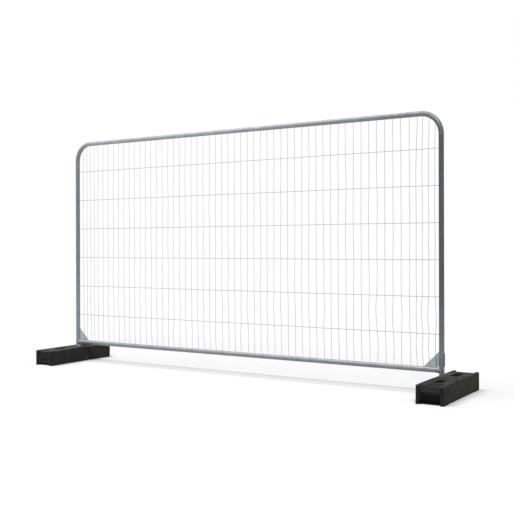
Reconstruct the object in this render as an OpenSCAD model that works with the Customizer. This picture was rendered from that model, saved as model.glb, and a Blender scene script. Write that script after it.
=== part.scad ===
// Mesh barrier panel: a round-cornered tube frame filled with welded wires, standing in two block feet.
// Origin: on the ground under the middle of the panel. X runs along the panel, Y through it, Z up.

/* [Frame] */
// Overall width of the frame, outside of upright to outside of upright
panel_w = 3500; // [2200:50:4200]
// Height of the top of the frame above the ground
panel_h = 2000; // [1200:50:2400]
// Radius of the top corners, on the tube's centre line
bend_r = 150; // [110:5:190]
// Outside diameter of the frame tubes
tube_d = 38; // [28:1:46]
// Wall of the frame tubes
tube_wall = 1.5; // [1.2:0.1:3]
// Length of the shoulders between the top bow's bends and its reduced ends
shoulder_l = 6; // [3:1:15]
// Length of the reduced ends of the top bow, inside the uprights
spigot_l = 60; // [30:5:100]
// Play all round the reduced ends of the top bow
spigot_clearance = 0.1; // [0.05:0.05:0.3]

/* [Gussets] */
// Length of a gusset along each tube
gusset_leg = 131; // [80:1:170]
// Thickness of a gusset plate
gusset_t = 3; // [2:0.5:6]
// Corner cut off a gusset where rail and upright meet
gusset_clip = 12; // [6:1:25]

/* [Mesh] */
// Diameter of the wires
wire_d = 3; // [2:0.5:5]
// Number of horizontal wires
row_count = 6; // [3:1:9]
// Distance from a rail's centre line to the nearest horizontal wire
row_margin = 250; // [150:10:300]
// Distance from an upright's centre line to the nearest vertical wire, on average
edge_margin = 63; // [45:1:90]
// Number of closely spaced vertical wires at each end
edge_count = 4; // [2:1:6]
// Pitch of the closely spaced vertical wires
edge_pitch = 45; // [30:1:55]
// Wanted pitch of the other vertical wires
field_pitch = 62; // [45:1:90]
// How far the mesh sits off the middle of the frame
mesh_shift = 9; // [0:1:12]
// Number of neighbouring field wires held in one group
group_size = 7; // [5:1:12]

/* [Feet] */
// Length of a foot, across the panel
foot_l = 760; // [600:10:900]
// Width of a foot, along the panel
foot_w = 200; // [180:5:260]
// Height of a foot
foot_h = 130; // [110:5:160]
// Radius of a foot's upright edges
foot_corner_r = 14; // [6:1:18]
// Radius of a foot's top edges
foot_edge_r = 9; // [4:1:12]
// Gap between a foot's top and the bottom rail
rail_gap = 29; // [20:1:60]
// Distance from the foot's centre line to each post socket
row_offset = 50; // [45:1:56]
// Play all round a post in its socket
socket_clearance = 2; // [1:0.5:3]
// Thickness of material under a socket
socket_web = 15; // [10:1:30]
// Width of the bevel round a socket's mouth
socket_bevel = 3; // [1:0.5:4]
// Height of the pads under a foot's corners
pad_h = 4; // [2:1:8]
// Length of a pad
pad_l = 100; // [60:5:130]
// Width of a pad
pad_w = 36; // [20:1:50]

/* [Hand holds and grooves in the feet] */
// Length of a hand hold through the foot
hold_l = 140; // [100:5:160]
// Width of a hand hold
hold_w = 60; // [40:2:64]
// Radius of a hand hold's corners
hold_r = 14; // [6:1:18]
// Distance from the middle of the foot to the middle of a hand hold
hold_y = 167; // [140:1:180]
// Width of the recess in each end face
recess_w = 144; // [90:2:150]
// Depth of the recess in each end face
recess_d = 20; // [10:1:35]
// How far the top dips at each end, between the two corners
dip_h = 10; // [4:1:16]
// Length of that dip, measured from the recess
dip_l = 45; // [20:5:80]
// Height of the finger grip under each end face
grip_h = 78; // [50:2:90]
// Depth of the finger grip, measured from the recess
grip_d = 42; // [25:1:50]
// Height of the finger grip at its back
grip_back_h = 34; // [18:1:40]
// Thickness of the web that closes the finger grip below
grip_web = 4; // [2:1:6]
// Width of the grooves in the foot's sides
groove_w = 6; // [4:1:12]
// Depth of the grooves in the foot's sides
groove_d = 3; // [2:0.5:6]
// Distance from the foot's end to the first groove
groove_end = 65; // [45:1:80]
// Distance between the two grooves at each end
groove_gap = 48; // [30:1:60]

/* [End plugs] */
// Thickness of the plug's flange under the tube
plug_flange = 3; // [2:0.5:6]
// Length of the plug inside the tube
plug_l = 28; // [15:1:50]
// Play all round the plug inside the tube
plug_clearance = 0.05; // [0.02:0.01:0.1]

/* [Hidden] */
$fn = 96;
tube_r = tube_d / 2;
bore_r = tube_r - tube_wall;
post_x = panel_w / 2 - tube_r;              // an upright's centre line
top_z = panel_h - tube_r;                   // the top tube's centre line
rail_z = foot_h + rail_gap + tube_r;        // the bottom rail's centre line
bend_x = post_x - bend_r;                   // where a top corner's bend begins
bend_z = top_z - bend_r;                    // where it ends
post_z = socket_web + plug_flange;          // an upright's bottom end
post_top_z = bend_z - shoulder_l;           // an upright's top end, against the bow's shoulder
spigot_r = bore_r - spigot_clearance;

wire_r = wire_d / 2;
field_span = 2 * (post_x - edge_margin - edge_count * edge_pitch);
field_gaps = round(field_span / field_pitch);
field_step = field_span / field_gaps;
field_count = field_gaps + 1;
group_count = ceil(field_count / group_size);
row_step = (top_z - rail_z - 2 * row_margin) / (row_count - 1);

foot_x = post_x + row_offset;               // the post stands in the foot's inner socket
socket_r = tube_r + socket_clearance;
inside = 1;                                 // how far a shape runs past a face that it cuts or joins

zinc = "#98a0a4";
wire_zinc = "#c4c8ca";
plug_black = "#1e1e20";
foot_black = "#2c2c2a";

// --- Shapes used more than once ---

// A bar across the frame at height z, offset y through the panel, reach to either side of the middle
module bar_x(r, z, y = 0, reach = post_x) {
    translate([0, y, z]) rotate([0, 90, 0]) cylinder(r = r, h = 2 * reach, center = true);
}

// The line of the top bow as a solid bar of radius r
module bow_bar(r) {
    bar_x(r, top_z, reach = bend_x);
    for (side = [0, 1])
        mirror([side, 0, 0])
            translate([bend_x, 0, bend_z])
                rotate([90, 0, 0])
                    rotate_extrude(angle = 90) translate([bend_r, 0]) circle(r);
}

// A bar along an upright's centre line
module post_bar(r, z_from, z_to) {
    translate([post_x, 0, z_from]) cylinder(r = r, h = z_to - z_from);
}

// A rectangle with round corners, w along X and l along Y
module round_rect(w, l, r) {
    square([w - 2 * r, l], center = true);
    square([w, l - 2 * r], center = true);
    for (x = [-1, 1], y = [-1, 1])
        translate([x * (w / 2 - r), y * (l / 2 - r)]) circle(r);
}

// A block's outline seen from the side: flat bottom, round top corners
module round_top(w, h, r) {
    translate([-w / 2, 0]) square([w, h - r]);
    translate([-w / 2 + r, 0]) square([w - 2 * r, h]);
    for (x = [-1, 1]) translate([x * (w / 2 - r), h - r]) circle(r);
}

// --- Tube frame ---

module top_bow() {
    color(zinc)
        difference() {
            union() {
                bow_bar(tube_r);
                for (side = [0, 1])
                    mirror([side, 0, 0]) {
                        post_bar(tube_r, post_top_z, bend_z);
                        post_bar(spigot_r, post_top_z - spigot_l, bend_z);
                    }
            }
            bow_bar(bore_r);
            for (side = [0, 1])
                mirror([side, 0, 0])
                    post_bar(spigot_r - tube_wall, post_top_z - spigot_l - inside, bend_z + inside);
        }
}

module upright() {
    color(zinc)
        difference() {
            post_bar(tube_r, post_z, post_top_z);
            post_bar(bore_r, post_z - inside, post_top_z + inside);
        }
}

module bottom_rail() {
    color(zinc)
        difference() {
            bar_x(tube_r, rail_z);
            bar_x(bore_r, rail_z);
            for (side = [0, 1])
                mirror([side, 0, 0]) post_bar(tube_r, rail_z - tube_d, rail_z + tube_d);
        }
}

// A plate just behind the mesh, coped to both tubes
module gusset() {
    near = tube_r + gusset_clip;
    far = tube_r + gusset_leg;
    color(zinc)
        difference() {
            translate([post_x, gusset_t, rail_z])
                rotate([90, 0, 0])
                    linear_extrude(gusset_t)
                        polygon([
                            [0, near], [0, far], [-far, 0], [-near, 0], [-near, tube_r], [-tube_r, near]
                        ]);
            bar_x(tube_r, rail_z);
            post_bar(tube_r, rail_z - tube_d, rail_z + far + inside);
        }
}

// --- Mesh: the vertical wires lie in front of the horizontal ones ---

// Half the distance between the frame's centre lines at height z
function bow_x(z) =
    let (past = max(0, z - bend_z))
    bend_x + sqrt(bend_r * bend_r - past * past);

// Height of the top bow's centre line over x
function bow_z(x) =
    let (past = max(0, abs(x) - bend_x))
    bend_z + sqrt(bend_r * bend_r - past * past);

// Horizontal wire i, counted from the bottom and cut to the tube at either end
module horizontal_wire(i) {
    z = rail_z + row_margin + (i - 1) * row_step;
    color(wire_zinc)
        difference() {
            bar_x(wire_r, z, wire_r, bow_x(z));
            bow_bar(tube_r);
            for (side = [0, 1])
                mirror([side, 0, 0]) post_bar(tube_r, rail_z, bend_z);
        }
}

// Vertical wires at the given places, cut to the rail below and to the bow above
module vertical_wires(places) {
    color(wire_zinc)
        difference() {
            for (x = places)
                translate([x, -wire_r, rail_z]) cylinder(r = wire_r, h = bow_z(x) - rail_z);
            bar_x(tube_r, rail_z);
            bow_bar(tube_r);
        }
}

// Places of the closely spaced wires at one end, -1 for left and 1 for right
function edge_places(side) =
    [for (i = [0 : edge_count - 1]) mesh_shift + side * (post_x - edge_margin - i * edge_pitch)];

// Places of the wires in field group g, counted from 1
function field_places(g) =
    let (first = (g - 1) * group_size, last = min(first + group_size, field_count) - 1)
    [for (i = [first : last]) mesh_shift - field_span / 2 + i * field_step];

// --- Feet ---

// The plain block on its four pads
module foot_block() {
    intersection() {
        translate([0, 0, pad_h]) linear_extrude(foot_h - pad_h) round_rect(foot_w, foot_l, foot_corner_r);
        rotate([90, 0, 0]) linear_extrude(foot_l + 2 * inside, center = true)
            round_top(foot_w, foot_h, foot_edge_r);
        rotate([90, 0, 90]) linear_extrude(foot_w + 2 * inside, center = true)
            round_top(foot_l, foot_h, foot_edge_r);
    }
    intersection() {
        linear_extrude(pad_h + inside) round_rect(foot_w, foot_l, foot_corner_r);
        for (x = [-1, 1], y = [-1, 1])
            translate([x * (foot_w - pad_w) / 2, y * (foot_l - pad_l) / 2, 0])
                linear_extrude(pad_h + inside) square([pad_w, pad_l], center = true);
    }
}

// A blind hole for a post, bevelled at its mouth
module socket() {
    translate([0, 0, socket_web]) cylinder(r = socket_r, h = foot_h);
    translate([0, 0, foot_h - socket_bevel])
        cylinder(r1 = socket_r, r2 = socket_r + socket_bevel + inside, h = socket_bevel + inside);
}

// The recess in the end face at +Y, the dip that slopes down to it from the top, and the finger grip over a thin web
module end_recess() {
    face = foot_l / 2;
    back = face - recess_d;
    web_top = pad_h + grip_web;
    translate([-recess_w / 2, back, -inside]) cube([recess_w, recess_d + inside, foot_h + 2 * inside]);
    translate([-recess_w / 2, 0, 0])
        rotate([90, 0, 90])
            linear_extrude(recess_w)
                polygon([
                    [back + inside, web_top], [back + inside, grip_h], [back, grip_h],
                    [back - grip_d, grip_back_h], [back - grip_d, web_top]
                ]);
    translate([-recess_w / 2, 0, 0])
        rotate([90, 0, 90])
            linear_extrude(recess_w)
                polygon([
                    [back + inside, foot_h - dip_h], [back, foot_h - dip_h], [back - dip_l, foot_h],
                    [back - dip_l, foot_h + inside], [back + inside, foot_h + inside]
                ]);
}

module foot() {
    color(foot_black)
        difference() {
            foot_block();
            for (side = [-1, 1]) {
                translate([side * row_offset, 0, 0]) socket();
                translate([0, side * hold_y, -inside])
                    linear_extrude(foot_h + 2 * inside) round_rect(hold_w, hold_l, hold_r);
                for (x = [-1, 1], y = [groove_end, groove_end + groove_gap])
                    translate([x * foot_w / 2, side * (foot_l / 2 - y), foot_h / 2])
                        cube([2 * groove_d, groove_w, foot_h + 2 * inside], center = true);
            }
            for (turn = [0, 180]) rotate(turn) end_recess();
        }
}

// A plug closing an upright's bottom end, its flange between tube and socket floor
module post_plug() {
    color(plug_black) {
        translate([post_x, 0, socket_web]) cylinder(r = tube_r, h = plug_flange);
        translate([post_x, 0, socket_web]) cylinder(r = bore_r - plug_clearance, h = plug_flange + plug_l);
    }
}

top_bow();
mirror([1, 0, 0]) upright();  // upright_left
upright();  // upright_right
bottom_rail();
mirror([1, 0, 0]) gusset();  // gusset_left
gusset();  // gusset_right
for (i = [1 : row_count])
    horizontal_wire(i);
vertical_wires(edge_places(-1));  // edge_wires_left
vertical_wires(edge_places(1));  // edge_wires_right
for (g = [1 : group_count])
    vertical_wires(field_places(g));
mirror([1, 0, 0]) post_plug();  // post_plug_left
post_plug();  // post_plug_right
translate([-foot_x, 0, 0]) foot();  // foot_left
translate([foot_x, 0, 0]) foot();  // foot_right
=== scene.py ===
"""The looks of a mesh barrier panel on two block feet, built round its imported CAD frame."""

import math
import random

import bmesh
import bpy
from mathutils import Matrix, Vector, noise


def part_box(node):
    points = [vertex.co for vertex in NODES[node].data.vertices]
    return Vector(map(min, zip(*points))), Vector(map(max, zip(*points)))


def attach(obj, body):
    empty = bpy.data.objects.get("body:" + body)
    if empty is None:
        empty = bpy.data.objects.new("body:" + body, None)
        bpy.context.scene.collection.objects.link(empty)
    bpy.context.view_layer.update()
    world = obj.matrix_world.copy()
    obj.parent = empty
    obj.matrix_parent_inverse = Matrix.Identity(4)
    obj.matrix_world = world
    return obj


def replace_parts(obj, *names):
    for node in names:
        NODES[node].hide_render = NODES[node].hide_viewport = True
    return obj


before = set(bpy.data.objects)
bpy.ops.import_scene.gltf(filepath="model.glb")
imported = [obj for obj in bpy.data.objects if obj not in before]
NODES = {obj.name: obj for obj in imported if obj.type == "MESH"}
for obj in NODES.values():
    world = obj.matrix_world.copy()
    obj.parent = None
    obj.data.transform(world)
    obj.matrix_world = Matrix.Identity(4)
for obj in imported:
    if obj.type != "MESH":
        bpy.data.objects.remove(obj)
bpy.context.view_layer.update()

# --- Sizes and places, in metres, read from the frame ---

MM = 0.001


def middle(node, axis):
    low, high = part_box(node)
    return (low[axis] + high[axis]) / 2


POST_LOW, POST_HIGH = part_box("upright_right")
POST_X = middle("upright_right", 0)
TUBE_R = (POST_HIGH.x - POST_LOW.x) / 2
SEAM_Z = POST_HIGH.z
RAIL_Z = middle("bottom_rail", 2)
TOP_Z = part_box("top_bow")[1].z - TUBE_R
ROW_NODES = sorted(n for n in NODES if n.startswith("horizontal_wire_"))
ROW_Z = [middle(n, 2) for n in ROW_NODES]
WIRE_R = (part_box(ROW_NODES[0])[1].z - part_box(ROW_NODES[0])[0].z) / 2
GUSSET_LOW, GUSSET_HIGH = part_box("gusset_right")


# --- Node helpers for materials ---

def new_material(name):
    material = bpy.data.materials.new(name)
    material.use_nodes = True
    tree = material.node_tree
    tree.nodes.clear()
    output = tree.nodes.new("ShaderNodeOutputMaterial")
    shader = tree.nodes.new("ShaderNodeBsdfPrincipled")
    tree.links.new(shader.outputs[0], output.inputs[0])
    return material, tree, shader


def set_or_link(tree, socket, value):
    """Links another node's socket to this one, or stores a number or colour in it."""
    if isinstance(value, bpy.types.NodeSocket):
        tree.links.new(value, socket)
    else:
        socket.default_value = value


def feed(tree, node, **inputs):
    """Sets a node's inputs by name, with _ for a space."""
    for name, value in inputs.items():
        set_or_link(tree, node.inputs[name.replace("_", " ")], value)
    return node


def place(tree):
    """Where a point is at rest, in metres from the frame's origin."""
    return tree.nodes.new("ShaderNodeTexCoord").outputs["Object"]


def split(tree, vector):
    """The X, Y and Z of a vector, as a node's outputs."""
    node = tree.nodes.new("ShaderNodeSeparateXYZ")
    tree.links.new(vector, node.inputs[0])
    return node.outputs


def cloud(tree, vector, scale, detail=3.0, roughness=0.5):
    """Soft noise from 0 to 1."""
    node = tree.nodes.new("ShaderNodeTexNoise")
    feed(tree, node, Vector=vector, Scale=scale, Detail=detail, Roughness=roughness)
    return node.outputs["Fac"]


def stretched(tree, vector, scale):
    """A place scaled along each axis, so that noise there is drawn out."""
    node = tree.nodes.new("ShaderNodeMapping")
    feed(tree, node, Vector=vector, Scale=scale)
    return node.outputs[0]


def crystals(tree, vector, scale):
    """Small cells, each with a colour of its own."""
    node = tree.nodes.new("ShaderNodeTexVoronoi")
    feed(tree, node, Vector=vector, Scale=scale)
    return node.outputs["Color"]


def grey(level):
    return (level, level, level)


def ramp(tree, value, *stops):
    """A colour ramp through (position, colour) stops; a plain number is a grey."""
    node = tree.nodes.new("ShaderNodeValToRGB")
    tree.links.new(value, node.inputs[0])
    elements = node.color_ramp.elements
    while len(elements) < len(stops):
        elements.new(0.5)
    for element, (position, colour) in zip(elements, stops):
        element.position = position
        element.color = (*(grey(colour) if isinstance(colour, (int, float)) else colour), 1)
    return node.outputs[0]


def mix(tree, amount, a, b, blend="MIX"):
    """Blends colours a and b; each of the three may be a socket, and the colours plain RGB."""
    node = tree.nodes.new("ShaderNodeMix")
    node.data_type = "RGBA"
    node.blend_type = blend
    factor, first, second = node.inputs[0], node.inputs[6], node.inputs[7]
    for socket, value in ((factor, amount), (first, a), (second, b)):
        set_or_link(tree, socket, (*value, 1) if isinstance(value, tuple) else value)
    return node.outputs[2]


def times(tree, a, b):
    """The product of colours a and b."""
    return mix(tree, 1.0, a, b, "MULTIPLY")


def bump(tree, height, strength, distance, under=None):
    node = tree.nodes.new("ShaderNodeBump")
    feed(tree, node, Height=height, Strength=strength, Distance=distance)
    if under is not None:
        tree.links.new(under, node.inputs["Normal"])
    return node.outputs[0]


# --- Materials ---

def zinc(name, dark, light, rough, metallic, painted_shading, gloss=(0.35, 0.38)):
    """Dull hot-dip galvanised steel: patches, a faint spangle and streaks.
    Each of the painted shading ramps is (axis, from, to, factor, factor): painted light and shade, which darkens or
    pales the zinc from one height, or place along X, to another. gloss is the weight and roughness of its clear coat."""
    material, tree, shader = new_material(name)
    spot = place(tree)
    patches = cloud(tree, spot, 11, 4, 0.6)
    streaks = cloud(tree, stretched(tree, spot, (60, 60, 9)), 1, 3, 0.6)
    grain = cloud(tree, spot, 95, 3, 0.6)
    spangle = crystals(tree, spot, 160)
    base = ramp(tree, patches, (0.3, dark), (0.7, light))
    base = mix(tree, 0.5, base, ramp(tree, spangle, (0.0, 0.8), (1.0, 1.0)), "MULTIPLY")
    base = mix(tree, 0.5, base, ramp(tree, streaks, (0.35, 0.82), (0.65, 1.0)), "MULTIPLY")
    axes = split(tree, spot)
    # painted light and shade: each ramp pales or darkens the zinc by height or by place along X
    for axis, start, stop, first, last in painted_shading:
        painted_ramp = tree.nodes.new("ShaderNodeMapRange")
        feed(tree, painted_ramp, Value=axes[axis], From_Min=start, From_Max=stop, To_Min=first, To_Max=last)
        base = times(tree, base, painted_ramp.outputs[0])
    feed(tree, shader, Base_Color=base, Metallic=metallic, Normal=bump(tree, grain, 0.25, 0.4 * MM),
         Roughness=ramp(tree, grain, (0.3, rough - 0.05), (0.7, rough + 0.07)),
         Coat_Weight=gloss[0], Coat_Roughness=gloss[1])
    return material


def weld(name, dark, light):
    """Weld metal under a thin zinc coat: dull, uneven and stained."""
    material, tree, shader = new_material(name)
    spot = place(tree)
    patches = cloud(tree, spot, 180, 4, 0.65)
    grain = cloud(tree, spot, 900, 2, 0.5)
    feed(tree, shader, Base_Color=ramp(tree, patches, (0.35, dark), (0.65, light)), Metallic=0.5,
         Roughness=ramp(tree, patches, (0.3, 0.62), (0.7, 0.45)), Normal=bump(tree, grain, 0.4, 0.3 * MM))
    return material


# Colours of the feet: each pair is the darker and the paler one of a patchy cover
BLACK_RUBBER = grey(0.011), (0.023, 0.022, 0.017)
MOSSY_RUBBER = (0.015, 0.015, 0.008), (0.034, 0.034, 0.019)
TOP_DUST = grey(0.009), (0.052, 0.055, 0.056)
TOP_MOSS = (0.014, 0.014, 0.008), (0.105, 0.105, 0.072)
RAIN_MARKS = (0.034, 0.033, 0.025)
# painted shade: the black painted into the grips and hollows
PAINTED_SHADE_BLACK = grey(0.002)
# pale scuffs, and a painted highlight on the rounded edges
SCUFF_AND_HIGHLIGHT_GREY = (0.165, 0.165, 0.167)
TOP_FACE_Z = (105 * MM, 115 * MM)       # level faces are covered above these heights


def rubber(name, moss, pale, dusty, wall_painted_light, roof_painted_light):
    """Moulded black rubber: fine grain, pale scuffs with a painted highlight on ridges, dust on top, painted shade in
    hollows and grips, and moss towards its back.
    moss is the moss's share there, pale a tint of the bare rubber, and dusty the strength of the cover on top.
    The last two arguments are painted light and shade: the colours painted on each end's recess wall and on the sloping
    roof of its grip."""
    material, tree, shader = new_material(name)
    spot = place(tree)
    axes = split(tree, spot)
    facing = split(tree, tree.nodes.new("ShaderNodeNewGeometry").outputs["Normal"])
    patches = cloud(tree, spot, 9, 4, 0.55)
    runs_down = cloud(tree, stretched(tree, spot, (26, 26, 5)), 1, 4, 0.6)
    grain = cloud(tree, spot, 420, 2, 0.5)
    lumps = cloud(tree, spot, 55, 4, 0.65)
    mossy = ramp(tree, axes["Y"], (0.02, 0.0), (0.22, moss))

    def patchy(by, low, high, pair):
        return ramp(tree, by, (low, pair[0]), (high, pair[1]))

    base = patchy(patches, 0.3, 0.7, BLACK_RUBBER)
    base = mix(tree, ramp(tree, runs_down, (0.4, 0.0), (0.7, 0.5)), base, RAIN_MARKS)
    base = mix(tree, mossy, base, patchy(patches, 0.3, 0.7, MOSSY_RUBBER))
    base = times(tree, base, pale)

    upward = times(tree, ramp(tree, facing["Z"], (0.55, 0.0), (0.95, 1.0)),
                   ramp(tree, axes["Z"], (TOP_FACE_Z[0], 0.0), (TOP_FACE_Z[1], 1.0)))
    thick = mix(tree, 0.6, patches, cloud(tree, spot, 26, 3, 0.6))
    cover = mix(tree, mossy, patchy(thick, 0.42, 0.60, TOP_DUST), patchy(thick, 0.40, 0.60, TOP_MOSS))
    base = mix(tree, upward, base, times(tree, cover, grey(dusty)))

    marks = {}
    for label in ("deep", "wear", "wall", "roof"):
        node = tree.nodes.new("ShaderNodeAttribute")
        node.attribute_name = label
        marks[label] = node.outputs["Fac"]
    # painted light and shade: colours painted on each end's recess wall and on its grip's roof
    base = mix(tree, marks["wall"], base, wall_painted_light)
    base = mix(tree, marks["roof"], base, roof_painted_light)
    # painted shade: the grips and hollows painted black
    base = mix(tree, marks["deep"], base, PAINTED_SHADE_BLACK)
    # wear and painted highlight: ridges are paled as scuffs and as a painted highlight on rounded edges, less towards
    # the mossy back
    scuff_and_highlight = times(tree, ramp(tree, marks["wear"], (0.1, 0.0), (0.6, 1.0)),
                    ramp(tree, lumps, (0.35, 0.3), (0.65, 0.95)))
    scuff_and_highlight = times(tree, scuff_and_highlight, mix(tree, mossy, grey(1.0), grey(0.25)))
    base = mix(tree, scuff_and_highlight, base, SCUFF_AND_HIGHLIGHT_GREY)

    skin = bump(tree, lumps, 0.25, 1.2 * MM, under=bump(tree, grain, 0.35, 0.5 * MM))
    feed(tree, shader, Base_Color=base, Roughness=ramp(tree, lumps, (0.3, 0.6), (0.75, 0.85)), Normal=skin,
         Specular_IOR_Level=0.1)
    return material


def plastic(name):
    """Black moulded plastic of the end plugs."""
    material, tree, shader = new_material(name)
    spot = place(tree)
    grain = cloud(tree, spot, 500, 2, 0.5)
    patches = cloud(tree, spot, 40)
    feed(tree, shader, Base_Color=ramp(tree, patches, (0.3, (0.018, 0.018, 0.02)), (0.7, (0.03, 0.03, 0.032))),
         Roughness=ramp(tree, grain, (0.3, 0.42), (0.7, 0.55)), Normal=bump(tree, grain, 0.2, 0.2 * MM))
    return material


CROWN_Z = TOP_Z - 5 * MM         # just under the top tube's middle: the bow's painted highlight fades into painted shade from here
BEND_Z = TOP_Z - 55 * MM         # down to here, high in its bends, and more slowly down to its seams
RAIL_PALE_Z = (RAIL_Z - 5 * MM, RAIL_Z + 12 * MM)    # the rail's zinc is painted paler between these heights, as a painted highlight on its top

# Painted highlight and shade: the bow and the rail are paler on top as a painted highlight. The bow is darker down its
# bends, and both are paler to the left and darker towards the right end, as painted shade and reflection.
BOW_ZINC = zinc("bow_zinc", dark=(0.27, 0.30, 0.31), light=(0.36, 0.39, 0.40), rough=0.5, metallic=0.5,
                painted_shading=(("Z", SEAM_Z, BEND_Z, 0.7, 1), ("Z", BEND_Z, CROWN_Z, 0.62, 1), ("X", -0.2, POST_X, 1.33, 0.6)),
                gloss=(0.8, 0.3))
RAIL_ZINC = zinc("rail_zinc", dark=(0.235, 0.265, 0.275), light=(0.33, 0.36, 0.37), rough=0.5, metallic=0.5,
                 painted_shading=(("Z", *RAIL_PALE_Z, 0.84, 1.12), ("X", -POST_X, POST_X, 1, 0.78)), gloss=(1.0, 0.3))
# Painted shade and reflection: the uprights' zinc is a darker copy of the bow's, and the right upright's copy is the
# darkest. Both are painted paler low down, as painted light.
LEFT_ZINC = zinc("left_upright_zinc", dark=(0.125, 0.165, 0.18), light=(0.18, 0.225, 0.24), rough=0.5,
                 metallic=0.8, painted_shading=(("Z", 0.2, 1.1, 1.4, 1),), gloss=(1.0, 0.25))
RIGHT_ZINC = zinc("right_upright_zinc", dark=(0.038, 0.050, 0.054), light=(0.054, 0.068, 0.072), rough=0.5,
                  metallic=0.8, painted_shading=(("Z", 0.25, 0.8, 2.6, 1),), gloss=(1.0, 0.25))
# Painted shade: the plates' zinc darkens towards the right end.
PLATE_ZINC = zinc("plate_zinc", dark=(0.42, 0.47, 0.48), light=(0.54, 0.59, 0.60), rough=0.48, metallic=0.6,
                  painted_shading=(("X", 0, POST_X, 1.1, 0.85),))
# Painted shade: the wires' zinc darkens low down and towards the right end, and the horizontal wires' zinc is a darker
# copy, as painted shade.
WIRE_ZINC = zinc("wire_zinc", dark=(0.45, 0.48, 0.49), light=(0.58, 0.61, 0.62), rough=0.38, metallic=0.6,
                 painted_shading=(("Z", 0, 1, 0.65, 1), ("X", -0.6, POST_X, 1, 0.5)))
ROW_ZINC = zinc("row_zinc", dark=(0.22, 0.235, 0.24), light=(0.30, 0.32, 0.32), rough=0.42, metallic=0.5,
                painted_shading=(("Z", 0, 1, 0.8, 1), ("X", -0.6, POST_X, 1, 0.6)))
WELD_ZINC = weld("weld_zinc", dark=(0.16, 0.17, 0.17), light=(0.34, 0.36, 0.36))
STAINED_WELD = weld("stained_weld", dark=(0.07, 0.075, 0.075), light=(0.16, 0.16, 0.15))
PLUG_PLASTIC = plastic("plug_plastic")


# --- Meshes swept along a line of points ---

SIDES = 8                        # sides of every wire and weld bead
SHARP_ANGLE = math.radians(50)   # edges that turn more than this stay sharp


def circle(count):
    return [2 * math.pi * k / count for k in range(count)]


def sweep(mesh, points, radii, closed=False):
    """Adds to a bmesh a round bar along the points, with one radius for each point."""
    count = len(points)
    turns = circle(SIDES)
    rings = []
    hint = Vector((0, 1, 0)) if abs((points[1] - points[0]).normalized().y) < 0.9 else Vector((1, 0, 0))
    for i, point in enumerate(points):
        before = points[(i - 1) % count] if closed or i else point
        after = points[(i + 1) % count] if closed or i < count - 1 else point
        along = (after - before).normalized()
        across = (hint - along * hint.dot(along)).normalized()
        up = along.cross(across)
        hint = across
        rings.append([mesh.verts.new(point + (across * math.cos(t) + up * math.sin(t)) * radii[i]) for t in turns])
    pairs = list(zip(rings, rings[1:])) + ([(rings[-1], rings[0])] if closed else [])
    for a, b in pairs:
        for this, other in zip(range(SIDES), [*range(1, SIDES), 0]):
            mesh.faces.new((a[this], a[other], b[other], b[this]))
    if not closed:
        mesh.faces.new(rings[0][::-1])
        mesh.faces.new(rings[-1])


def nugget(mesh, centre, size):
    """A small round lump of weld metal, squashed to the three half sizes given."""
    made = bmesh.ops.create_icosphere(mesh, subdivisions=1, radius=1)
    for vert in made["verts"]:
        vert.co = Vector(a * b for a, b in zip(vert.co, size)) + centre


def add_piece(name, data, material, body):
    """Puts a mesh into the scene as a piece that rides on a body."""
    data.materials.clear()
    data.materials.append(material)
    piece = bpy.data.objects.new(name, data)
    bpy.context.scene.collection.objects.link(piece)
    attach(piece, body)
    return piece


def panel_piece(name, mesh, material):
    """Turns a bmesh into a piece of the panel."""
    bmesh.ops.recalc_face_normals(mesh, faces=mesh.faces)
    data = bpy.data.meshes.new(name)
    mesh.to_mesh(data)
    mesh.free()
    data.shade_smooth()
    data.set_sharp_from_angle(angle=SHARP_ANGLE)
    return add_piece(name, data, material, "panel")


# --- Mesh: hand-straightened wires that wander between their welds ---

SINK = 0.25 * MM                 # how far crossing wires are pressed into each other
STEP = 22 * MM                   # distance between the rings of a wavy wire
LOW_SPAN = ROW_Z[1]              # below this height the wires are bent more
AT_WELD = 1.2 * MM               # how far a wire strays sideways at its welds
BENT = 1.4 * MM                  # and between them
BENT_LOW = 3.2 * MM              # the same in the low spans
BENT_LOW_MORE = 2.6 * MM         # and what is added to it near the right end,
BENT_MORE_X = 1.1                # from this place on
HANG_BACK = 12 * MM              # how far the middle of the mesh hangs to the left
SWING = 7 * MM                   # how far the wires swing sideways at the rail
PEAK = (0.35, 0.65)              # where between two welds a wire may bow most
SPLAY_X = POST_X - 243 * MM      # the wires to the left of this keep their place,
SPLAY_OVER = 45 * MM             # and from this far on they move over fully:
SPLAY_LOW = 7                    # by this many mm below the highest row,
SPLAY_TOP = 8                    # and by this many more at the top
ROW_STEP = 2 * STEP              # distance between the rings of a horizontal wire
ROW_WANDER = 1.6 * MM            # how far it strays up and down,
ROW_WAVES = 3                    # about this many times in each metre
FIRST_ROW_SEED = 50
GROUP_SEEDS = 100                # seeds kept for the wires of one group
SAME_WIRE = 3 * WIRE_R           # vertices nearer to each other than this, along X, are of one wire
TOLERANCE = MM / 10
NUGGET = (2.7 * MM, 2.2 * MM, 2.7 * MM)          # half sizes of the weld at a crossing,
UPRIGHT_BLOB = (2.6 * MM, 2.4 * MM, 1.8 * MM)    # at the ends of an upright wire,
ROW_BLOB = (1.8 * MM, 2.4 * MM, 2.6 * MM)        # and at the ends of a horizontal one


def runs(values, gap):
    """Groups sorted numbers into runs that are nearer to each other than gap."""
    groups = []
    for value in sorted(values):
        if groups and value - groups[-1][-1] < gap:
            groups[-1].append(value)
        else:
            groups.append([value])
    return groups


def upright_wires(node):
    """(x, lowest z, highest z) of each wire in a CAD node that holds several."""
    verts = [v.co for v in NODES[node].data.vertices]
    found = []
    for run in runs([v.x for v in verts], SAME_WIRE):
        heights = [v.z for v in verts if run[0] - TOLERANCE <= v.x <= run[-1] + TOLERANCE]
        found.append(((run[0] + run[-1]) / 2, min(heights), max(heights)))
    return found


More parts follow.
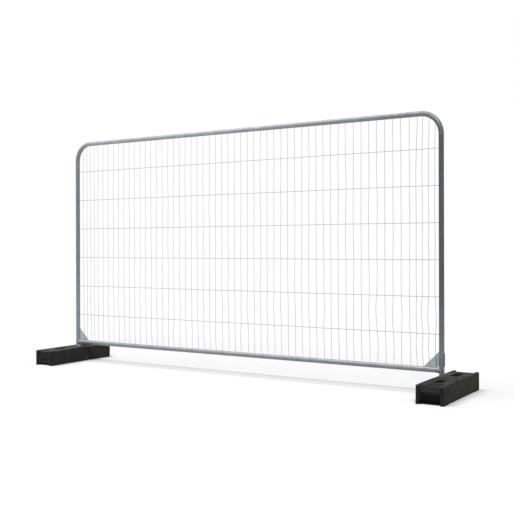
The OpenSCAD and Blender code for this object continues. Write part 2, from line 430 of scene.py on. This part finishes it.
def pull(x):
    """Sideways place of the whole mesh: its middle hangs back a little."""
    return -HANG_BACK * (1 - (x / POST_X) ** 2)


def lean(z):
    """Sideways swing of the wires below the second row, which grows faster than the depth."""
    return SWING * max(0, 1 - (z - RAIL_Z) / (ROW_Z[1] - RAIL_Z)) ** 1.5


def splay(x, z):
    """The close wires at the right end stand nearer to their post, most of all above the highest row."""
    reach = min(1, max(0, (x - SPLAY_X) / SPLAY_OVER))
    rise = max(0, (z - ROW_Z[-1]) / (TOP_Z - ROW_Z[-1]))
    return reach * (SPLAY_LOW + SPLAY_TOP * rise) * MM


class WavyWire:
    """An upright wire that strays a little at its welds, and bows sideways and forward between them."""

    def __init__(self, x, low, high, seed):
        draw = random.Random(seed)
        self.x = x
        self.levels = [low] + [z for z in ROW_Z if low < z < high] + [high]
        self.at_weld = [draw.gauss(0, AT_WELD) for _ in self.levels]
        self.bow = []
        for z in self.levels[:-1]:
            loose = BENT_LOW + BENT_LOW_MORE * (x > BENT_MORE_X) if z < LOW_SPAN else BENT
            self.bow.append((draw.gauss(0, loose), draw.gauss(0, loose / 2), draw.uniform(*PEAK)))

    def point(self, z):
        span = max(i for i in range(len(self.bow)) if i == 0 or z >= self.levels[i])
        low, high = self.levels[span], self.levels[span + 1]
        t = min(1, max(0, (z - low) / (high - low)))
        out, depth, peak = self.bow[span]
        arch = math.sin(math.pi * t ** (math.log(0.5) / math.log(peak)))
        ease = t * t * (3 - 2 * t)
        stray = self.at_weld[span] * (1 - ease) + self.at_weld[span + 1] * ease + out * arch
        x = self.x + pull(self.x) + lean(z) + splay(self.x, z) + stray
        return Vector((x, SINK - WIRE_R - abs(depth) * arch, z))


def wavy_wires(node, name, seed):
    """The upright wires of one CAD group, with a dark weld nugget at each crossing and a blob at each end."""
    mesh, spots = bmesh.new(), bmesh.new()
    for i, (x, low, high) in enumerate(upright_wires(node)):
        wire = WavyWire(x, low, high, seed * GROUP_SEEDS + i)
        rings = math.ceil((high - low) / STEP)
        points = [wire.point(low + (high - low) * k / rings) for k in range(rings + 1)]
        sweep(mesh, points, [WIRE_R] * len(points))
        for z in ROW_Z:
            if low < z < high:
                nugget(spots, Vector((wire.point(z).x, -WIRE_R, z)), NUGGET)
        for end in (points[0], points[-1]):
            nugget(mesh, end, UPRIGHT_BLOB)
    piece = panel_piece(name, mesh, WIRE_ZINC)
    panel_piece(name + "_welds", spots, STAINED_WELD)
    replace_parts(piece, node)


def row_wire(node, name, seed):
    """A horizontal wire, almost straight, behind the upright ones."""
    draw = random.Random(seed)
    low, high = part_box(node)
    z = (low.z + high.z) / 2
    rings = math.ceil((high.x - low.x) / ROW_STEP)
    phase = draw.uniform(0, 100)
    points = []
    for k in range(rings + 1):
        x = low.x + (high.x - low.x) * k / rings
        wander = noise.noise(Vector((x * ROW_WAVES, phase, 0))) * ROW_WANDER
        points.append(Vector((x, WIRE_R - SINK, z + wander)))
    mesh = bmesh.new()
    sweep(mesh, points, [WIRE_R] * len(points))
    for end in (points[0], points[-1]):
        nugget(mesh, end, ROW_BLOB)
    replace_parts(panel_piece(name, mesh, ROW_ZINC), node)


GROUPS = ["edge_wires_left"] + sorted(n for n in NODES if n.startswith("vertical_wires_")) + ["edge_wires_right"]
for seed, node in enumerate(GROUPS):
    wavy_wires(node, "wavy_" + node, seed + 1)
for seed, node in enumerate(ROW_NODES):
    row_wire(node, "wavy_" + node, seed + FIRST_ROW_SEED)


# --- CAD nodes that keep their shape ---

for material, nodes in (
    (BOW_ZINC, ("top_bow",)),
    (RAIL_ZINC, ("bottom_rail",)),
    (LEFT_ZINC, ("upright_left",)),
    (RIGHT_ZINC, ("upright_right",)),
    (PLATE_ZINC, ("gusset_left", "gusset_right")),
    (PLUG_PLASTIC, ("post_plug_left", "post_plug_right")),
):
    for node in nodes:
        for slot in NODES[node].material_slots:
            slot.material = material


# --- Weld beads ---

SEAM_BEAD_R = 1.4 * MM
BEAD_R = 1.9 * MM
UNDER_BEAD_R = 3 * MM
OUTER_BEAD_R = 3.4 * MM
RIPPLE = 5 * MM                  # distance between the ripples of a bead: fine,
UNDER_RIPPLE = 8 * MM            # under the rail,
OUTER_RIPPLE = 9 * MM            # and along the outside of an upright
RINGS_IN_RIPPLE = 3
RIPPLE_DEPTH = 0.16              # shares of a bead's radius: its ripples,
LUMP_DEPTH = 0.25                # its lumps,
TAPER = (0.35, 0.75)             # and the first rings at each end
LUMPS_IN_RING = 0.9              # noise steps from ring to ring,
LUMPS_IN_SEED = 7.3              # and from bead to bead
SEAM_SEED, RAIL_SEED, PLATE_SEED, PLATE_RAIL_SEED, OUTER_SEED, UNDER_SEED = 11, 21, 31, 41, 51, 61
SEAM_POINTS, RAIL_POINTS = 48, 64                # points of the paths round a seam and round the rail


def bead(name, path, radius, seed, closed=False, material=WELD_ZINC, ripple=RIPPLE):
    """A lumpy bead of weld metal along a path, resampled so that its ripples are even."""
    legs = list(zip(path, path[1:] + path[:1] if closed else path[1:]))
    length = sum((b - a).length for a, b in legs)
    count = max(8, round(length / (ripple / RINGS_IN_RIPPLE)))
    points, radii = [], []
    for k in range(count if closed else count + 1):
        left = length * k / count
        for a, b in legs:
            if left <= (b - a).length or (a, b) == legs[-1]:
                points.append(a.lerp(b, min(1, left / (b - a).length)))
                break
            left -= (b - a).length
        lump = noise.noise(Vector((k * LUMPS_IN_RING, seed * LUMPS_IN_SEED, 0)))
        ripple_now = math.cos(2 * math.pi * k / RINGS_IN_RIPPLE)
        radii.append(radius * (1 + RIPPLE_DEPTH * ripple_now + LUMP_DEPTH * lump))
    if not closed:
        for k, share in enumerate(TAPER):
            radii[k] *= share
            radii[-1 - k] *= share
    mesh = bmesh.new()
    sweep(mesh, points, radii, closed)
    panel_piece(name, mesh, material)


def saddle(side, turn):
    """A point of the line where the bottom rail meets an upright, turned round the rail from its top."""
    along = side * (POST_X - abs(TUBE_R * math.cos(turn)))
    return Vector((along, TUBE_R * math.sin(turn), RAIL_Z + TUBE_R * math.cos(turn)))


GUSSET_TOP = GUSSET_HIGH.z
GUSSET_REACH = POST_X - GUSSET_LOW.x     # how far a plate reaches along the rail from its post
PLATE_START = TUBE_R + 18 * MM           # a plate's beads start this far from the tubes' middles,
PLATE_STOP = 22 * MM                     # stop this far before its tips,
PLATE_PROUD = 0.6 * MM                   # and stand this far off the faces that they join
UNDER_BACK = 4 * MM                      # the bead under the rail stands this far in from the joint,
UNDER_ARC = [math.pi * (0.55 + 0.9 * k / 24) for k in range(25)]    # and covers these angles, measured from the top
OUTER_PROUD = 0.9 * MM                   # the bead on an upright's outside stands this far off it,
OUTER_Y = 1.5 * MM                       # a little behind the panel's middle,
OUTER_Z = (RAIL_Z + 26 * MM, GUSSET_TOP - 8 * MM)    # between these heights

for side, hand in ((-1, "left"), (1, "right")):
    axis = side * POST_X
    seam = [Vector((axis + TUBE_R * math.cos(t), TUBE_R * math.sin(t), SEAM_Z)) for t in circle(SEAM_POINTS)]
    bead("seam_weld_" + hand, seam, SEAM_BEAD_R, side + SEAM_SEED, closed=True)
    bead("rail_weld_" + hand, [saddle(side, t) for t in circle(RAIL_POINTS)], BEAD_R, side + RAIL_SEED, closed=True)
    # a real weld under the rail's end, made thick and dark to stand also for painted shade under the rail
    under = [saddle(side, t) + Vector((-side * UNDER_BACK, 0, 0)) for t in UNDER_ARC]
    bead("rail_under_weld_" + hand, under, UNDER_BEAD_R, side + UNDER_SEED, material=STAINED_WELD, ripple=UNDER_RIPPLE)

    beside = axis - side * (TUBE_R + PLATE_PROUD)
    above = RAIL_Z + TUBE_R + PLATE_PROUD
    for face, depth in (("front", GUSSET_LOW.y - PLATE_PROUD), ("back", GUSSET_HIGH.y + PLATE_PROUD)):
        upright_line = [Vector((beside, depth, z)) for z in (RAIL_Z + PLATE_START, GUSSET_TOP - PLATE_STOP)]
        rail_line = [Vector((axis - side * out, depth, above)) for out in (PLATE_START, GUSSET_REACH - PLATE_STOP)]
        bead(f"gusset_upright_weld_{face}_{hand}", upright_line, BEAD_R, side + PLATE_SEED)
        bead(f"gusset_rail_weld_{face}_{hand}", rail_line, BEAD_R, side + PLATE_RAIL_SEED)

    outer = axis + side * (TUBE_R + OUTER_PROUD)
    strip = [Vector((outer, OUTER_Y, z)) for z in OUTER_Z]
    bead("outer_weld_" + hand, strip, OUTER_BEAD_R, side + OUTER_SEED, material=STAINED_WELD, ripple=OUTER_RIPPLE)


# --- Feet: softened mouldings with uneven faces and worn edges ---

VOXEL = 2 * MM
FACES_KEPT = 0.16                # share of the remeshed faces that the piece keeps
SOCKET_CLEAR = 35 * MM           # nothing is made uneven nearer than this to a socket's middle,
PAD_CLEAR = 6 * MM               # or below this height
LEAST_SINK = 0.1 * MM            # every other face sinks in by at least this much
MEAN_SINK = 0.5 * MM
BROAD_DENTS = (14, 0.7 * MM)     # noise scale and depth of a face's broad dents
FINE_DENTS = (60, 0.3 * MM)      # and of its fine ones
WEAR_AND_HIGHLIGHT_GAIN, HOLLOW_SHADE_GAIN = 4, 5    # how strongly a ridge wears and takes a painted highlight, and how strongly a hollow is painted dark as shade

# The recess in each end of a foot, and the grip that goes on from it. Depths are measured inward from the foot's end.
END_HALF = 73 * MM               # half the width of both
END_DEPTH = (17 * MM, 70 * MM)   # the recess's wall and the grip lie between these depths
WALL_DEPTH, WALL_Z = 23 * MM, 79 * MM            # the wall lies less deep than this, above this height
MOUTH_DEPTH, MOUTH_Z = 20 * MM, 78 * MM          # where the grip's roof starts,
ROOF_FALL = 44 / 42              # and how steeply it falls
ROOF_DEPTH = 22 * MM             # its painted light starts at this depth
ROOF_ABOVE = 4 * MM              # what lies up to this far above the roof is still part of it
DARKENING = 12 * MM              # the grip's painted shade turns black over this height
PAINTED_LIGHT_SHARE = 0.7                # strength of the light and shade painted on the wall and the roof
END_FACE, END_SHADE = 5 * MM, 0.2                # the end's own face, and how much painted shade darkens it


def soften(node):
    """A new mesh of a foot's CAD solid, with rounded edges."""
    copy = bpy.data.objects.new(node + "_source", NODES[node].data.copy())
    bpy.context.scene.collection.objects.link(copy)
    remesh = copy.modifiers.new("remesh", "REMESH")
    remesh.mode = "VOXEL"
    remesh.voxel_size = VOXEL
    smooth = copy.modifiers.new("smooth", "SMOOTH")
    smooth.factor = 0.5
    smooth.iterations = 2
    thin = copy.modifiers.new("thin", "DECIMATE")
    thin.ratio = FACES_KEPT
    depsgraph = bpy.context.evaluated_depsgraph_get()
    data = bpy.data.meshes.new_from_object(copy.evaluated_get(depsgraph))
    bpy.data.objects.remove(copy)
    return data


def dent(data, low, high, seed):
    """Sinks a foot's faces unevenly, apart from its sockets and its underside. Gives how far each vertex stands
    out from its neighbours before that, as a share of their distance."""
    centre = (low + high) / 2
    spare_x = 2 * centre.x - math.copysign(POST_X, centre.x)
    mesh = bmesh.new()
    mesh.from_mesh(data)
    mesh.normal_update()
    moves, ridges = [], []
    for vert in mesh.verts:
        near = [edge.other_vert(vert).co for edge in vert.link_edges]
        mean = sum(near, Vector()) / len(near)
        span = sum((co - vert.co).length for co in near) / len(near)
        ridges.append((vert.co - mean).dot(vert.normal) / span)
        spot = vert.co - centre
        sink = noise.noise(spot * BROAD_DENTS[0] + Vector((seed, 0, 0))) * BROAD_DENTS[1]
        sink += noise.noise(spot * FINE_DENTS[0] + Vector((0, seed, 0))) * FINE_DENTS[1]
        from_socket = min(math.hypot(vert.co.x - x, vert.co.y) for x in (-POST_X, POST_X, spare_x))
        flat = from_socket < SOCKET_CLEAR or vert.co.z < PAD_CLEAR
        moves.append(Vector() if flat else vert.normal * min(-LEAST_SINK, sink - MEAN_SINK))
    for vert, move in zip(mesh.verts, moves):
        vert.co = Vector(min(max(at, least), most) for at, least, most in zip(vert.co + move, low, high))
    mesh.to_mesh(data)
    mesh.free()
    return ridges


def end_marks(data, low, high, ridges, dark_below):
    """How worn and highlighted, how deep in painted shade, and how strongly painted with light or shade at its ends
    each vertex of a foot is, from 0 to 1.
    """
    centre_x = ((low + high) / 2).x
    marks = {"wear": [min(1.0, max(0.0, WEAR_AND_HIGHLIGHT_GAIN * ridge)) for ridge in ridges], "deep": [], "wall": [], "roof": []}
    for vert, ridge in zip(data.vertices, ridges):
        inward, across, z = high.y - abs(vert.co.y), abs(vert.co.x - centre_x), vert.co.z
        within = across < END_HALF and END_DEPTH[0] < inward < END_DEPTH[1]
        roof_z = MOUTH_Z - (inward - MOUTH_DEPTH) * ROOF_FALL
        # painted shade: black low in each grip and in hollows, and a little on each end's own face
        if within and z < dark_below:
            hollow = min(1.0, (dark_below - z) / DARKENING)
        else:
            hollow = max(0.0, -HOLLOW_SHADE_GAIN * ridge)
        marks["deep"].append(min(1.0, hollow + END_SHADE * (inward < END_FACE)))
        # painted light and shade on the recess wall and on the grip's sloping roof
        on_wall = inward < WALL_DEPTH and z > WALL_Z
        on_roof = inward > ROOF_DEPTH and dark_below < z < roof_z + ROOF_ABOVE
        marks["wall"].append(PAINTED_LIGHT_SHARE * (within and on_wall))
        marks["roof"].append(PAINTED_LIGHT_SHARE * (within and on_roof))
    return marks


def soft_foot(node, name, body, material, seed, dark_below):
    """Rebuilds a foot's CAD solid with rounded edges and slightly uneven faces, and marks its ridges, hollows and ends
    for painted highlights, light and shade.
    dark_below is the height under which each end's grip is painted black as shade."""
    data = soften(node)
    data.name = name
    low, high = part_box(node)
    ridges = dent(data, low, high, seed)
    for label, values in end_marks(data, low, high, ridges, dark_below).items():
        data.attributes.new(label, "FLOAT", "POINT").data.foreach_set("value", values)
    data.shade_smooth()
    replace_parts(add_piece(name, data, material, body), node)


# each foot's wall and roof colours are painted light and shade on its end recess: paler on the roofs and on the right
# wall, darker on the left wall
soft_foot("foot_left", "moulded_foot_left", "left_foot",
          rubber("foot_rubber_left", moss=0.1, pale=(1.8, 1.8, 2.1), dusty=1.6,
                 wall_painted_light=(0.020, 0.019, 0.018), roof_painted_light=(0.125, 0.12, 0.11)),
          seed=3.0, dark_below=16 * MM)
soft_foot("foot_right", "moulded_foot_right", "right_foot",
          rubber("foot_rubber_right", moss=0.9, pale=(1.0, 1.0, 0.88), dusty=0.72,
                 wall_painted_light=(0.039, 0.038, 0.043), roof_painted_light=(0.046, 0.045, 0.036)),
          seed=8.0, dark_below=30 * MM)


# --- Camera ---

camera = bpy.data.objects.new("camera", bpy.data.cameras.new("camera"))
bpy.context.scene.collection.objects.link(camera)
camera.location = (3.727, -5.595, 1.043)
camera.rotation_euler = (math.radians(90), math.radians(0.137), math.radians(32.11))
camera.data.lens = 58.13
camera.data.sensor_width = 36
camera.data.shift_y = -0.0207
bpy.context.scene.camera = camera


# --- Studio ---

FLOOR_HALF = 60                                  # metres
FLOOR_SEEN, FLOOR_GLOW, FLOOR_BOUNCE = 0.94, 0.07, 0.35
SKY_SEEN, SKY_LIGHT = grey(1.0), (0.25, 0.25, 0.26)


def seen_directly(tree):
    """1 for what the camera sees, in a mirror and through glass too, and 0 for light bounced from dull surfaces."""
    path = tree.nodes.new("ShaderNodeLightPath")
    total = path.outputs["Is Camera Ray"]
    for ray in ("Is Glossy Ray", "Is Transmission Ray"):
        more = tree.nodes.new("ShaderNodeMath")
        more.operation = "MAXIMUM"
        tree.links.new(total, more.inputs[0])
        tree.links.new(path.outputs[ray], more.inputs[1])
        total = more.outputs[0]
    return total


def floor():
    """A pale floor: white to the camera, with the object's shadow, and a plain grey in bounced light."""
    mesh = bmesh.new()
    bmesh.ops.create_grid(mesh, x_segments=1, y_segments=1, size=FLOOR_HALF)
    data = bpy.data.meshes.new("floor")
    mesh.to_mesh(data)
    mesh.free()
    plane = bpy.data.objects.new("floor", data)
    bpy.context.scene.collection.objects.link(plane)
    material, tree, shader = new_material("floor_white")
    direct = seen_directly(tree)
    feed(tree, shader, Base_Color=mix(tree, direct, grey(FLOOR_BOUNCE), grey(FLOOR_SEEN)), Roughness=1.0,
         Specular_IOR_Level=0.0, Emission_Color=mix(tree, direct, grey(0.0), grey(FLOOR_GLOW)), Emission_Strength=1)
    data.materials.append(material)


def surroundings():
    """Plain even light from all round, seen as white by the camera and in reflections."""
    world = bpy.data.worlds.new("world")
    world.use_nodes = True
    tree = world.node_tree
    tree.nodes.clear()
    output = tree.nodes.new("ShaderNodeOutputWorld")
    background = tree.nodes.new("ShaderNodeBackground")
    feed(tree, background, Color=mix(tree, seen_directly(tree), SKY_LIGHT, SKY_SEEN))
    tree.links.new(background.outputs[0], output.inputs[0])
    bpy.context.scene.world = world


def sun(name, share, spread, toward):
    """A far soft light that fills the angle spread, in degrees, and gives the floor this share of its light."""
    lamp = bpy.data.lights.new(name, "SUN")
    direction = Vector(toward).normalized()
    lamp.energy = math.pi * share / -direction.z
    lamp.angle = math.radians(spread)
    holder = bpy.data.objects.new(name, lamp)
    holder.rotation_mode = "QUATERNION"
    holder.rotation_quaternion = direction.to_track_quat("-Z", "Y")
    bpy.context.scene.collection.objects.link(holder)


floor()
surroundings()
sun("key", share=0.37, spread=14, toward=(-0.35, 0.62, -0.70))
sun("overhead", share=0.38, spread=32, toward=(0.34, 0.27, -0.90))

bpy.context.scene.view_settings.view_transform = "Standard"
